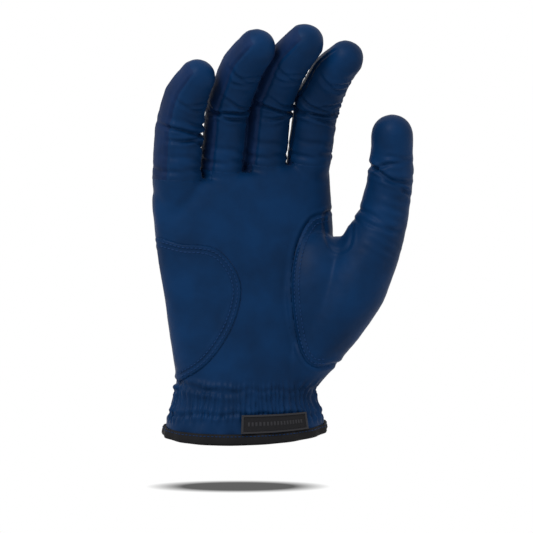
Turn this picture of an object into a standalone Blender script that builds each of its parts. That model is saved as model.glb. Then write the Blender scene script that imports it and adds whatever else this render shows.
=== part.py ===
"""Golf glove for a right hand, in the shape that it takes on a hand.

The palm faces -Y, the fingers point up and the thumb is at +X.

Every piece of leather, tape and hook-and-loop is its own solid. The palm body is a shell cut into its
panels along the real seams. Each digit is a tube of panels and side strips (fourchettes), divided where
it bends. A short ring of leather at each bend, the fold, is the stretch that crumples.
The origin is in the middle of the wrist opening. Units are metres.
"""

import math

import bmesh
import bpy
import numpy as np
from mathutils import Matrix, Vector

MM = 0.001

# Leather and seams
WALL = 0.7 * MM  # leather with its seam allowance
GAP = 0.3 * MM  # between neighbouring pieces
LANE = 0.18 * MM  # half the width of a seam between two panels of one tube

# The hand's turn: its palm faces this much towards +X
PALM_TURN = math.radians(16)
ACROSS = Vector((math.cos(PALM_TURN), math.sin(PALM_TURN), 0))  # little finger to thumb
PALMAR = Vector((math.sin(PALM_TURN), -math.cos(PALM_TURN), 0))  # out of the palm

# Palm and wrist cross-sections, from the cuff to the roots of the fingers, in mm:
# height, centre x, centre y, half width, half depth, tilt in degrees, squareness of the oval
PALM_SECTIONS = (
    (0, 0.0, 3.0, 44.6, 27.0, 0, 2.1),
    (14, 0.2, 3.0, 41.8, 26.0, 0, 2.1),
    (23, 0.0, 3.0, 38.9, 25.0, 0, 2.1),
    (36, 0.8, 3.0, 38.8, 24.5, 0, 2.1),
    (56, 0.4, 2.0, 41.6, 22.0, 0, 2.2),
    (76, 0.4, 1.5, 44.4, 20.0, 0, 2.3),
    (97, 0.2, 1.0, 48.0, 18.5, 0, 2.4),
    (113, -0.4, 1.0, 49.4, 17.0, 2, 2.5),
    (130, -1.8, 0.5, 49.4, 15.2, 6, 2.6),
    (140, -2.2, 0.5, 49.2, 13.6, 8, 2.6),
    (143.8, -2.2, 0.5, 46.5, 11.5, 9, 2.5),
    (145.8, -2.2, 0.5, 41.0, 8.5, 9, 2.4),
)
RIM_DIP = 6.0 * MM  # the cuff's edge dips this much at the heel of the palm and rises at the back
RIM_DIP_AT = math.radians(-20)
RIM_FADE = 30 * MM  # height at which the cuff's wave has died out

# Fingers: root at the crotch (x, y, z), curl direction's turn from -Y towards +X, bone lengths,
# lean of each bone from the vertical, half widths at root, middle joint, end joint and near the tip
ROOT_DEPTH = 22.0  # how far each finger's tube starts below the crotch
DEPTH_SHARE = 0.88  # a finger's depth against its width
FINGERS = {
    "index": ((34.2, 8.5, 150), 27, (34, 23, 23), (16, 44, 60), (11.4, 11.2, 10.6, 9.4)),
    "middle": ((9.7, 4.0, 149), 28, (35.5, 27, 28), (13, 40, 57), (11.4, 11.1, 10.6, 9.5)),
    "ring": ((-13.2, -3.0, 145.5), 28, (36.5, 25.5, 26), (12, 36, 54), (11.1, 10.8, 10.3, 9.3)),
    "little": ((-37.4, -12.0, 139.5), 28, (30, 18.5, 23.5), (5, 24, 46), (12.4, 12.0, 10.8, 9.4)),
}
ROOT_TAPER = 4.0  # a finger's tube is this much slimmer at its start, inside the palm
KNUCKLE_ABOVE_ROOT = 11.0  # the glove folds this far above the crotch
HALF_FOLD = 7.0  # half the length of leather that crumples at a joint
FOLDS = ("knuckle_fold", "middle_fold")
BEND = 9.0  # half the length over which a bone's line turns into the next
CAP_SHARE = 0.72  # the front panel wraps over this much of the fingertip's radius

# Thumb: start in the heel of the hand, then bones as length and direction
THUMB_START = (18, 2, 24)
THUMB_BONES = (
    (72.3, (40, -5, 60)),
    (38.5, (16, -2, 35)),
    (27.6, (5, -3, 27)),
    (31.2, (0.5, -6, 30.6)),
)
THUMB_SIZES = (  # distance along the thumb, half width, half depth
    (0, 11, 10),
    (25, 14, 14),
    (50, 16.5, 16.5),
    (73, 18, 17),
    (95, 15.8, 14.5),
    (111, 13.0, 12.2),
    (130, 11.8, 11.0),
    (150, 10.8, 10.2),
)
WEB_CENTRE = (50, 3, 99)  # the web in the thumb's crotch
WEB_RADII = (12, 15, 12.5)
THUMB_SPLIT_Y = -3.0  # the thumb's side seams run in this plane
THUMB_PALMAR = Vector((-0.75, -0.66, 0))
THUMB_HALF_FOLD = 6.0

# Seams and trim, in mm on the front view (x, z)
THUMB_SEAM = (
    (45, 124), (35, 120), (28, 106), (25, 87), (26.5, 66), (30, 50), (36, 42), (46, 42),
    (75, 50), (110, 90), (110, 150), (58, 150), (54, 128),
)
THUMB_BACK_SEAM = (
    (48, 120), (45, 100), (41, 80), (40, 62), (44, 46),
    (75, 50), (110, 90), (110, 150), (58, 150), (52, 132),
)
QUIRK_OUTLINE = ((43.5, 124), (44, 110), (48.7, 103), (56, 106), (57.5, 118), (54.5, 124))
HEEL_OUTLINE = ((-60, 102), (-32, 107), (-13, 103), (-2, 86), (-9, 59), (-30, 37), (-60, 32))
SLIT_OUTLINE = ((-7, -20), (-6, 20), (-3.5, 50), (0, 58), (3.5, 50), (6, 20), (7, -20))
SLIT_FACING = 4.0 * MM  # width of the tape around the slit

BINDING_HEIGHT = 4.8 * MM
BINDING_OUT = 1.0 * MM
LABEL_ANGLES = (-12, 39)  # round the wrist, from the middle of the palm towards the thumb
LABEL_HEIGHTS = (5.6 * MM, 15.6 * MM)
ELASTIC_ANGLES = (-80, 80)
ELASTIC_HEIGHTS = (21 * MM, 30 * MM)

# Closure tab on the back of the wrist, as angles round the wrist. Its thumb side is sewn, the other is free.
TAB_ROOT_ANGLE = 138
TAB_END_ANGLE = 218
TAB_HEIGHTS = (24 * MM, 52 * MM)
TAB_THICK = 1.2 * MM
TAB_LIFT = 2.6 * MM  # the tab's underside above the leather
PAD_ANGLES = (198, 217)
PAD_THICK = 0.8 * MM
TAPE_THICK = 0.5 * MM
ELASTIC_THICK = 0.8 * MM
REAR_RIM_RISE = 11.6 * MM  # the cuff's edge at the back of the wrist, above its edge at the front

COLOURS = {
    "leather": ((0.012, 0.05, 0.15), 0.42),
    "fourchette": ((0.008, 0.03, 0.1), 0.6),
    "black_tape": ((0.012, 0.012, 0.014), 0.75),
    "hook_loop": ((0.02, 0.02, 0.025), 0.95),
    "elastic": ((0.05, 0.05, 0.055), 0.9),
}


# ---------------------------------------------------------------- scene and materials


def clear_scene():
    for obj in list(bpy.data.objects):
        bpy.data.objects.remove(obj)


def new_collection(name):
    collection = bpy.data.collections.new(name)
    bpy.context.scene.collection.children.link(collection)
    return collection


def new_material(name):
    colour, roughness = COLOURS[name]
    material = bpy.data.materials.new(name)
    material.use_nodes = True
    shader = material.node_tree.nodes["Principled BSDF"]
    shader.inputs["Base Color"].default_value = (*colour, 1)
    shader.inputs["Roughness"].default_value = roughness
    shader.inputs["Metallic"].default_value = 0
    return material


def add_object(name, mesh, collection, material=None):
    obj = bpy.data.objects.new(name, mesh)
    collection.objects.link(obj)
    if material:
        mesh.materials.clear()
        mesh.materials.append(material)
    return obj


def mesh_from_grid(name, grid, keep=None, close_columns=False, cap_ends=False):
    """A surface through grid[row][column], whose faces point out when rows rise and columns turn from the
    palm towards the thumb. keep(row, column) says which cells are made."""
    bm = bmesh.new()
    verts = [[bm.verts.new(p) for p in row] for row in grid]
    columns = len(grid[0])
    for i in range(len(grid) - 1):
        for j in range(columns if close_columns else columns - 1):
            if keep and not keep(i, j):
                continue
            k = (j + 1) % columns
            bm.faces.new((verts[i][j], verts[i][k], verts[i + 1][k], verts[i + 1][j]))
    if cap_ends:
        bm.faces.new(verts[0][::-1])
        bm.faces.new(verts[-1])
    bmesh.ops.remove_doubles(bm, verts=bm.verts, dist=1e-6)
    loose = [v for v in bm.verts if not v.link_faces]
    bmesh.ops.delete(bm, geom=loose, context="VERTS")
    mesh = bpy.data.meshes.new(name)
    bm.to_mesh(mesh)
    bm.free()
    return mesh


def thicken(obj, thickness, outwards=False):
    solidify = obj.modifiers.new("thickness", "SOLIDIFY")
    solidify.thickness = thickness
    solidify.offset = 1 if outwards else -1


def baked(obj):
    """The object's mesh with its modifiers applied."""
    graph = bpy.context.evaluated_depsgraph_get()
    return bpy.data.meshes.new_from_object(obj.evaluated_get(graph))


def triangulate(mesh):
    bm = bmesh.new()
    bm.from_mesh(mesh)
    bmesh.ops.triangulate(bm, faces=bm.faces)
    bm.to_mesh(mesh)
    bm.free()


def combine(obj, other, operation):
    """obj with a Boolean applied, and the other object left as it is."""
    triangulate(obj.data)
    triangulate(other.data)
    modifier = obj.modifiers.new(operation.lower(), "BOOLEAN")
    modifier.operation = operation
    modifier.object = other
    bpy.context.view_layer.update()
    mesh = baked(obj)
    obj.modifiers.clear()
    obj.data = mesh
    return obj


def copy_of(obj, name, collection):
    return add_object(name, obj.data.copy(), collection)


def outline_block(name, points, y_from, y_to, collection, smooth=True):
    """A block with this outline on the front view, from y_from to y_to: a 2D curve made a mesh."""
    data = bpy.data.curves.new(name, "CURVE")
    data.dimensions = "2D"
    data.fill_mode = "BOTH"
    data.extrude = abs(y_to - y_from) / 2
    data.resolution_u = 4
    spline = data.splines.new("BEZIER")
    spline.bezier_points.add(len(points) - 1)
    for point, (x, z) in zip(spline.bezier_points, points):
        point.co = (x * MM, z * MM, 0)
        point.handle_left_type = point.handle_right_type = "AUTO" if smooth else "VECTOR"
    spline.use_cyclic_u = True
    curve = bpy.data.objects.new(name + "_curve", data)
    curve.rotation_euler = (math.radians(90), 0, 0)
    curve.location = (0, (y_from + y_to) / 2, 0)
    collection.objects.link(curve)
    bpy.context.view_layer.update()
    mesh = baked(curve)
    mesh.transform(curve.matrix_world)
    bpy.data.objects.remove(curve)
    bm = bmesh.new()
    bm.from_mesh(mesh)
    bmesh.ops.remove_doubles(bm, verts=bm.verts, dist=1e-6)
    bmesh.ops.recalc_face_normals(bm, faces=bm.faces)
    bm.to_mesh(mesh)
    bm.free()
    return add_object(name, mesh, collection)


# ---------------------------------------------------------------- palm surface


def power(value, exponent):
    return math.copysign(abs(value) ** exponent, value)


def palm_point(angle, z, offset=0.0):
    """A point of the palm's surface. angle is 0 in the middle of the palm and 90 degrees at the thumb side."""
    table = np.array(PALM_SECTIONS, float)
    height = np.clip(z / MM, table[0, 0], table[-1, 0])
    cx, cy, half_width, half_depth, tilt, squareness = (
        float(np.interp(height, table[:, 0], table[:, k])) for k in range(1, 7)
    )
    along = (half_width * MM + offset) * power(math.sin(angle), 2 / squareness)
    out = (half_depth * MM + offset) * power(math.cos(angle), 2 / squareness)
    point = Vector((cx * MM, cy * MM, z)) + ACROSS * along + PALMAR * out
    wave = RIM_DIP * (1 - math.cos(angle - RIM_DIP_AT))
    point.z += math.tan(math.radians(tilt)) * along + wave * max(0.0, 1 - z / RIM_FADE)
    return point


def palm_solid(name, offset, collection, below=0.0, segments=32):
    angles = [2 * math.pi * k / segments for k in range(segments)]
    heights = [s[0] * MM for s in PALM_SECTIONS]
    heights = [*([-below] if below else []), *heights[:-1], heights[-1] + offset]
    grid = [[palm_point(a, z, offset) for a in angles] for z in heights]
    mesh = mesh_from_grid(name, grid, close_columns=True, cap_ends=True)
    return add_object(name, mesh, collection)


def wrist_sheet(name, degrees, heights, offsets, thickness, material, collection, outline=None):
    """A patch that follows the wrist, between two angles and two heights, its underside at offsets(share)."""
    columns, rows = max(4, round(abs(degrees[1] - degrees[0]) / 8)), 4
    grid = []
    for i in range(rows + 1):
        row = []
        for j in range(columns + 1):
            share = j / columns
            angle = math.radians(degrees[0] + share * (degrees[1] - degrees[0]))
            low, high = outline(share) if outline else (0, 1)
            height = heights[0] + (heights[1] - heights[0]) * (low + (high - low) * i / rows)
            row.append(palm_point(angle, height, offsets(share) + thickness))
        grid.append(row if degrees[1] > degrees[0] else row[::-1])
    obj = add_object(name, mesh_from_grid(name, grid), collection, material)
    thicken(obj, thickness)
    return obj


# ---------------------------------------------------------------- digits


def smoothstep(t):
    t = min(1.0, max(0.0, t))
    return t * t * (3 - 2 * t)


class Digit:
    """A finger's or the thumb's tube: a smooth line through its bones, with an oval section."""

    def __init__(self, name, start, bones, sizes, palmar, side_strips):
        self.name, self.sizes, self.side_strips = name, sizes, side_strips
        self.lengths = [b[0] * MM for b in bones]
        self.directions = [Vector(b[1]).normalized() for b in bones]
        self.palmar_hint = palmar
        self.length = sum(self.lengths)
        self.step = 0.25 * MM
        self.line = [Vector(start) * MM]
        for k in range(int(self.length / self.step)):
            self.line.append(self.line[-1] + self.direction((k + 0.5) * self.step) * self.step)

    def joint_at(self, number):
        return sum(self.lengths[: number + 1])

    def direction(self, s):
        result = self.directions[0]
        for k, after in enumerate(self.directions[1:]):
            share = smoothstep((s - self.joint_at(k) + BEND * MM) / (2 * BEND * MM))
            result = result.lerp(after, share)
        return result.normalized()

    def point(self, s):
        place = min(max(s / self.step, 0), len(self.line) - 1.001)
        k = int(place)
        return self.line[k].lerp(self.line[k + 1], place - k)

    def axes(self, s):
        """Directions out of the pad and towards the thumb side, square to the line."""
        along = self.direction(s)
        palmar = (self.palmar_hint - along * self.palmar_hint.dot(along)).normalized()
        return palmar, along.cross(palmar) * -1

    def half_sizes(self, s):
        table = np.array(self.sizes, float) * MM
        half_width = float(np.interp(s, table[:, 0], table[:, 1]))
        half_depth = float(np.interp(s, table[:, 0], table[:, 2]))
        dome = min(1.0, max(0.0, (s - self.length + half_width) / half_width))
        round_off = math.sqrt(max(0.0, 1 - dome * dome))
        return half_width * round_off, half_depth * round_off

    def ring(self, s, angles, offset=0.0):
        palmar, side = self.axes(s)
        half_width, half_depth = self.half_sizes(s)
        half_width, half_depth = max(half_width + offset, 0), max(half_depth + offset, 0)
        centre = self.point(s)
        return [
            centre
            + side * half_width * power(math.sin(a), 2 / 2.2)
            + palmar * half_depth * power(math.cos(a), 2 / 2.2)
            for a in angles
        ]

    def solid(self, name, s_from, s_to, offset, collection, segments=18, step=6 * MM):
        angles = [2 * math.pi * k / segments for k in range(segments)]
        count = max(2, round((s_to - s_from) / step))
        stations = [s_from + (s_to - s_from) * k / count for k in range(count + 1)]
        grid = [self.ring(s, angles, offset) for s in stations]
        mesh = mesh_from_grid(name, grid, close_columns=True, cap_ends=True)
        return add_object(name, mesh, collection)


def make_digits():
    digits = {}
    for name, (root, turn, lengths, leans, widths) in FINGERS.items():
        turn = math.radians(turn)
        curl = Vector((math.sin(turn), -math.cos(turn), 0))
        directions = [
            curl * math.sin(math.radians(lean)) + Vector((0, 0, math.cos(math.radians(lean))))
            for lean in leans
        ]
        start = Vector(root) - directions[0] * ROOT_DEPTH
        lengths = (lengths[0] + ROOT_DEPTH, *lengths[1:])
        marks = (0, ROOT_DEPTH, lengths[0], lengths[0] + lengths[1], sum(lengths) - widths[-1])
        widths = (widths[0] - ROOT_TAPER, *widths)
        sizes = [(mark, width, width * DEPTH_SHARE) for mark, width in zip(marks, widths)]
        sides = {"index": (False, True), "little": (True, False)}.get(name, (True, True))
        digits[name] = Digit(name, start, list(zip(lengths, directions)), sizes, curl, sides)
    digits["thumb"] = Digit("thumb", THUMB_START, THUMB_BONES, THUMB_SIZES, THUMB_PALMAR, (False, False))
    return digits


def panel_columns(digit):
    """The tube's columns as (angle lines, name of each cell between them). A seam is a narrow lane with no name."""
    thumb_side, little_side = digit.side_strips
    seams = []
    if thumb_side:
        seams += [(52, "front", "thumb_side"), (128, "thumb_side", "back")]
    else:
        seams += [(90, "front", "back")]
    if little_side:
        seams += [(232, "back", "little_side"), (308, "little_side", "front")]
    else:
        seams += [(270, "back", "front")]
    lane = math.degrees(LANE / (digit.sizes[0][1] * MM))
    lines, names = [], []
    for k, (angle, _, after) in enumerate(seams):
        following = seams[(k + 1) % len(seams)][0] + (360 if k + 1 == len(seams) else 0)
        cells = max(2, round((following - angle) / 26))
        start, end = angle + lane, following - lane
        lines += [start + (end - start) * n / cells for n in range(cells + 1)]
        names += [after] * cells + [None]
    return [math.radians(a) for a in lines], names


def evenly(start, end, step):
    count = max(1, round((end - start) / step))
    return [start + (end - start) * k / count for k in range(count + 1)]


def digit_rows(digit, knuckle, middle, half_fold):
    """The tube's rows as (stations, name of each cell between them): folds at the two joints, panels between."""
    tip_radius = digit.sizes[-1][1] * MM
    cap = digit.length - tip_radius * CAP_SHARE
    spans = (
        ("knuckle_fold", knuckle - half_fold, knuckle + half_fold, 5 * MM),
        ("lower", knuckle + half_fold, middle - half_fold, 7 * MM),
        ("middle_fold", middle - half_fold, middle + half_fold, 5 * MM),
        ("upper", middle + half_fold, cap, 7 * MM),
    )
    stations, names = [], []
    for name, start, end, step in spans:
        lines = evenly(start + LANE, end - LANE, step)
        stations += lines
        names += [name] * (len(lines) - 1) + [None]
    dome = [digit.length - tip_radius * (1 - math.sin(math.radians(a))) for a in (28, 40, 52, 64, 76, 90)]
    stations += [cap + LANE, *(s for s in dome if s > cap + 1 * MM)]
    names += ["cap"] * (len(stations) - len(names) - 1)
    return stations, names


def piece_of_cell(digit, rows, columns, i, j):
    """The name of the piece that a cell of the digit's grid belongs to, or None in a seam."""
    row, column = rows[i], columns[j]
    if row in FOLDS:
        return f"{digit.name}_{row}"
    under_cap = row is None and i > 0 and rows[i - 1] == "upper" and column == "front"
    if row == "cap" or under_cap:
        return f"{digit.name}_upper_front"
    if row and column:
        return f"{digit.name}_{row}_{column}"
    return None


def digit_panels(digit, knuckle, middle, half_fold, materials, collection):
    """One object for each panel, side strip and fold of the digit's free part."""
    lines, columns = panel_columns(digit)
    stations, rows = digit_rows(digit, knuckle, middle, half_fold)
    grid = [digit.ring(s, lines) for s in stations]
    kinds = [name for name in dict.fromkeys(columns) if name]
    names = [f"{digit.name}_{fold}" for fold in FOLDS]
    names += [f"{digit.name}_{part}_{kind}" for part in ("lower", "upper") for kind in kinds]
    for name in names:
        def belongs(i, j):
            return piece_of_cell(digit, rows, columns, i, j) == name
        mesh = mesh_from_grid(name, grid, belongs, close_columns=True)
        material = materials["fourchette" if name.endswith("side") else "leather"]
        obj = add_object(name, mesh, collection, material)
        thicken(obj, WALL)


# ---------------------------------------------------------------- palm body


def joined(name, solids):
    first = solids[0]
    for other in solids[1:]:
        combine(first, other, "UNION")
    first.name = name
    return first


def hand_solid(name, digits, joints, offset, reach, cutters):
    """The closed outer shape of the palm, thumb root and finger roots, offset from the leather's face."""
    solids = [palm_solid(name + "_palm", offset, cutters, below=0 if reach == 0 else 25 * MM)]
    for digit_name, digit in digits.items():
        end = joints[digit_name][0] - joints[digit_name][2] - LANE + reach
        solids.append(digit.solid(f"{name}_{digit_name}", -offset, end, offset, cutters))
    solids.append(ellipsoid(name + "_web", WEB_CENTRE, WEB_RADII, offset, cutters))
    return joined(name, solids)


def cube_block(name, size, collection):
    bm = bmesh.new()
    bmesh.ops.create_cube(bm, size=size)
    mesh = bpy.data.meshes.new(name)
    bm.to_mesh(mesh)
    bm.free()
    return add_object(name, mesh, collection)


def ellipsoid(name, centre, radii, offset, collection):
    bm = bmesh.new()
    bmesh.ops.create_uvsphere(bm, u_segments=20, v_segments=12, radius=1)
    mesh = bpy.data.meshes.new(name)
    bm.to_mesh(mesh)
    bm.free()
    mesh.transform(Matrix.Diagonal([r * MM + offset for r in radii] + [1]))
    mesh.transform(Matrix.Translation(Vector(centre) * MM))
    return add_object(name, mesh, collection)


def half_space(name, palm_side, cutters, shift=LANE):
    """A big block on the palm's or the back's side of the plane through the side seams."""
    size = 0.5
    block = cube_block(name, size, cutters)
    block.data.transform(Matrix.Rotation(PALM_TURN, 4, "Z"))
    direction = PALMAR if palm_side else -PALMAR
    block.data.transform(Matrix.Translation(direction * (size / 2 + shift)))
    return block


def palm_body(digits, joints, materials, parts, cutters):
    outer = hand_solid("hand_outer", digits, joints, 0.0, 0.0, cutters)
    inner = hand_solid("hand_inner", digits, joints, -WALL, 3 * MM, cutters)
    combine(outer, inner, "DIFFERENCE")
    front, back = half_space("front_half", True, cutters), half_space("back_half", False, cutters)
    split, wide = THUMB_SPLIT_Y * MM, 2 * LANE / MM
    thumb_front = outline_block("thumb_front", THUMB_SEAM, -0.1, split - LANE, cutters)
    thumb_rear = outline_block("thumb_rear", THUMB_BACK_SEAM, split + LANE, 0.1, cutters)
    around_front = outline_block("around_front", widened(THUMB_SEAM, wide), -0.1, split + LANE, cutters)
    around_rear = outline_block("around_rear", widened(THUMB_BACK_SEAM, wide), split - LANE, 0.1, cutters)
    quirk_area = outline_block("quirk_area", QUIRK_OUTLINE, -0.1, 0.1, cutters)
    quirk_area_wide = outline_block("quirk_area_wide", widened(QUIRK_OUTLINE, 2 * LANE / MM), -0.1, 0.1, cutters)
    slit_area = outline_block("slit_area", SLIT_OUTLINE, 0.0, 0.1, cutters)
    turn_with_palm(slit_area)
    panels = {
        "palm_panel": ((front,), (around_front, around_rear, quirk_area_wide)),
        "back_panel": ((back,), (around_front, around_rear, quirk_area_wide, slit_area)),
        "thumb_palm_panel": ((thumb_front,), (quirk_area_wide,)),
        "thumb_back_panel": ((thumb_rear,), (quirk_area_wide,)),
        "thumb_quirk": ((quirk_area,), ()),
    }
    for name, (kept, cut) in panels.items():
        panel = copy_of(outer, name, parts)
        for area in kept:
            combine(panel, area, "INTERSECT")
        for area in cut:
            combine(panel, area, "DIFFERENCE")
        keep_largest(panel.data)
        panel.data.materials.clear()
        panel.data.materials.append(materials["leather"])
    return slit_area


def keep_largest(mesh):
    """Drop the slivers that cutting leaves where two outlines nearly meet."""
    bm = bmesh.new()
    bm.from_mesh(mesh)
    left, bodies = set(bm.verts), []
    while left:
        body, edge_of_body = set(), [left.pop()]
        while edge_of_body:
            vert = edge_of_body.pop()
            body.add(vert)
            near = {edge.other_vert(vert) for edge in vert.link_edges} & left
            left -= near
            edge_of_body += near
        bodies.append(body)
    bodies.sort(key=len)
    bmesh.ops.delete(bm, geom=[v for body in bodies[:-1] for v in body], context="VERTS")
    bm.to_mesh(mesh)
    bm.free()


def turn_with_palm(obj):
    obj.data.transform(Matrix.Rotation(PALM_TURN, 4, "Z"))


def widened(points, by):
    """The outline with each point moved out from its neighbours' chord by this much."""
    count = len(points)
    area = sum(points[k - 1][0] * points[k][1] - points[k][0] * points[k - 1][1] for k in range(count))
    side = 1 if area > 0 else -1
    moved = []
    for k, (x, z) in enumerate(points):
        before, after = points[k - 1], points[(k + 1) % count]
        chord = Vector((after[0] - before[0], after[1] - before[1])).normalized()
        moved.append((x + side * chord.y * by, z - side * chord.x * by))
    return moved


def layer_piece(name, low, high, areas, removed, material, parts, cutters):
    """A piece of a layer that lies on the palm body, between two offsets from the leather's face."""
    piece = palm_solid(name, high, parts, below=25 * MM)
    inner = palm_solid(name + "_inner", low, cutters, below=30 * MM)
    combine(piece, inner, "DIFFERENCE")
    for area in areas:
        combine(piece, area, "INTERSECT")
    for area in removed:
        combine(piece, area, "DIFFERENCE")
    piece.data.materials.clear()
    piece.data.materials.append(material)
    return piece


# ---------------------------------------------------------------- wrist trim and closure


def cuff_binding(material, collection, slit_half_angle=12):
    """Tape folded over the cuff's edge: a U-shaped section swept round the wrist, open at the slit."""
    out, inside, under = BINDING_OUT, -WALL - BINDING_OUT, 1.0 * MM
    profile = (  # offset from the leather's face, height above its edge
        (out, BINDING_HEIGHT), (GAP, BINDING_HEIGHT), (GAP, -GAP), (-WALL - GAP, -GAP),
        (-WALL - GAP, BINDING_HEIGHT), (inside, BINDING_HEIGHT), (inside, -under), (out, -under),
    )
    start, end, steps = -180 + slit_half_angle, 180 - slit_half_angle, 44
    grid = [
        [palm_point(math.radians(start + (end - start) * k / steps), z, offset) for offset, z in profile]
        for k in range(steps + 1)
    ]
    mesh = mesh_from_grid("cuff_binding", grid, close_columns=True, cap_ends=True)
    bm = bmesh.new()
    bm.from_mesh(mesh)
    bmesh.ops.recalc_face_normals(bm, faces=bm.faces)
    bm.to_mesh(mesh)
    bm.free()
    return add_object("cuff_binding", mesh, collection, material)


def rounded_end(share):
    """The tab's low and high edge, as shares of its height: full height, then a round free end."""
    inset = 0.5 * (1 - math.sqrt(max(0.0, 1 - max(0.0, (share - 0.72) / 0.29) ** 2)))
    return inset, 1 - inset


def tab_underside(share):
    """The tab's underside above the leather: it climbs from the sewn end and then stays level."""
    return GAP + (TAB_LIFT - GAP) * smoothstep(share / 0.35)


def level(offset):
    """The underside of a sheet that stays at one offset from the leather's face."""
    return lambda share: offset


def closure(materials, collection):
    """The tab, its hook patch, the loop pad that it grips, and the sewn end that it hinges on."""
    wrist_sheet("tab_anchor", (TAB_ROOT_ANGLE - 9, TAB_ROOT_ANGLE - 0.8), TAB_HEIGHTS,
                level(GAP), TAB_THICK, materials["leather"], collection)
    wrist_sheet("closure_tab", (TAB_ROOT_ANGLE, TAB_END_ANGLE), TAB_HEIGHTS,
                tab_underside, TAB_THICK, materials["leather"], collection, rounded_end)
    pad_heights = (TAB_HEIGHTS[0] + 5 * MM, TAB_HEIGHTS[1] - 5 * MM)
    wrist_sheet("loop_pad", PAD_ANGLES, pad_heights,
                level(GAP), PAD_THICK, materials["hook_loop"], collection)
    wrist_sheet("hook_patch", (PAD_ANGLES[0] + 1, PAD_ANGLES[1] - 4), pad_heights,
                level(GAP + PAD_THICK + GAP), PAD_THICK, materials["hook_loop"], collection)


def main():
    clear_scene()
    parts = new_collection("golf_glove")
    cutters = new_collection("cutters")
    materials = {name: new_material(name) for name in COLOURS}
    digits = make_digits()
    joints = {}
    for name, digit in digits.items():
        if name == "thumb":
            joints[name] = (digit.joint_at(1), digit.joint_at(2), THUMB_HALF_FOLD * MM)
        else:
            joints[name] = ((ROOT_DEPTH + KNUCKLE_ABOVE_ROOT) * MM, digit.joint_at(0), HALF_FOLD * MM)

    slit_area = palm_body(digits, joints, materials, parts, cutters)
    for name, digit in digits.items():
        digit_panels(digit, *joints[name], materials, parts)

    heel_area = outline_block("heel_area", HEEL_OUTLINE, -0.1, 0.0, cutters)
    front = bpy.data.objects["front_half"]
    layer_piece("heel_patch", GAP, GAP + WALL, (heel_area, front), (), materials["leather"], parts, cutters)
    facing_outline = widened(SLIT_OUTLINE, SLIT_FACING / MM)
    facing_area = outline_block("facing_area", facing_outline, 0.0, 0.1, cutters)
    turn_with_palm(facing_area)
    binding_top = REAR_RIM_RISE + BINDING_HEIGHT + GAP
    below_binding = cube_block("below_binding", 0.2, cutters)
    below_binding.data.transform(Matrix.Translation((0, 0, binding_top - 0.1)))
    layer_piece("slit_facing", GAP, GAP + TAPE_THICK, (facing_area,), (slit_area, below_binding),
                materials["black_tape"], parts, cutters)

    cuff_binding(materials["black_tape"], parts)
    wrist_sheet("woven_label", LABEL_ANGLES, LABEL_HEIGHTS,
                level(GAP), TAPE_THICK, materials["black_tape"], parts)
    wrist_sheet("wrist_elastic", ELASTIC_ANGLES, ELASTIC_HEIGHTS,
                level(-WALL - GAP - ELASTIC_THICK), ELASTIC_THICK, materials["elastic"], parts)
    closure(materials, parts)

    for cutter in cutters.objects:
        cutter.hide_render = True
        cutter.display_type = "WIRE"
    for obj in parts.objects:
        obj.data.shade_smooth()
        obj.data.set_sharp_from_angle(angle=math.radians(40))


main()
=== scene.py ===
import math

import bmesh
import bpy
import numpy as np
from mathutils import Matrix, Vector
from mathutils.bvhtree import BVHTree


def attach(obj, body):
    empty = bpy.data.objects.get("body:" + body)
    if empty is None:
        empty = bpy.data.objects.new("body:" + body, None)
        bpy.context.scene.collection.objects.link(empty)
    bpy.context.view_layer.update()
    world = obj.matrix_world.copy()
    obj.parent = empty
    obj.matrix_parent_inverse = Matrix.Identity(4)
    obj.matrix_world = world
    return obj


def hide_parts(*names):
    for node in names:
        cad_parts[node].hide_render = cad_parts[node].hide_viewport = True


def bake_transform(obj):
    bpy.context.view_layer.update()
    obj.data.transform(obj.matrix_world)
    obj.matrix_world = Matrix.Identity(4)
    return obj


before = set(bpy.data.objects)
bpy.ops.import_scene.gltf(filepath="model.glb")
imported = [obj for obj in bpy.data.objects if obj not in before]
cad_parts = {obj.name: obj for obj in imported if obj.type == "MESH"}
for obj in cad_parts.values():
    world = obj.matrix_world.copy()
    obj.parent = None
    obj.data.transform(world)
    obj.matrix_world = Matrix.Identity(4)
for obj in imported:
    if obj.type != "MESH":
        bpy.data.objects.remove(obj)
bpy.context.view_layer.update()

MM = 0.001
VOXEL = 0.8 * MM
WALL = 0.6 * MM
FAR = 1.0
NUDGE = 0.05 * MM  # step for measuring how fast a field changes
CHUNK = 20000  # points handled at a time, to keep the arrays small

# The hand's turn: its palm faces this much towards +X
PALM_TURN = math.radians(16)
ACROSS = Vector((math.cos(PALM_TURN), math.sin(PALM_TURN), 0))
PALMAR = Vector((math.sin(PALM_TURN), -math.cos(PALM_TURN), 0))

# Palm and wrist cross-sections, in mm: height, centre x, centre y, half width, half depth, tilt, squareness
PALM_SECTIONS = (
    (0, 0.0, 3.0, 44.6, 27.0, 0, 2.1),
    (14, 0.2, 3.0, 41.8, 26.0, 0, 2.1),
    (23, 0.0, 3.0, 38.9, 25.0, 0, 2.1),
    (36, 0.8, 3.0, 38.8, 24.5, 0, 2.1),
    (56, 0.4, 2.0, 41.6, 22.0, 0, 2.2),
    (76, 0.4, 1.5, 44.4, 20.0, 0, 2.3),
    (97, 0.2, 1.0, 48.0, 18.5, 0, 2.4),
    (113, -0.4, 1.0, 49.4, 17.0, 2, 2.5),
    (130, -1.8, 0.5, 49.4, 15.2, 6, 2.6),
    (140, -2.2, 0.5, 49.2, 13.6, 8, 2.6),
    (143.8, -2.2, 0.5, 46.5, 11.5, 9, 2.5),
    (145.8, -2.2, 0.5, 41.0, 8.5, 9, 2.4),
)
RIM_DIP = 6.0 * MM
RIM_DIP_AT = math.radians(-20)
RIM_FADE = 30 * MM

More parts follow.
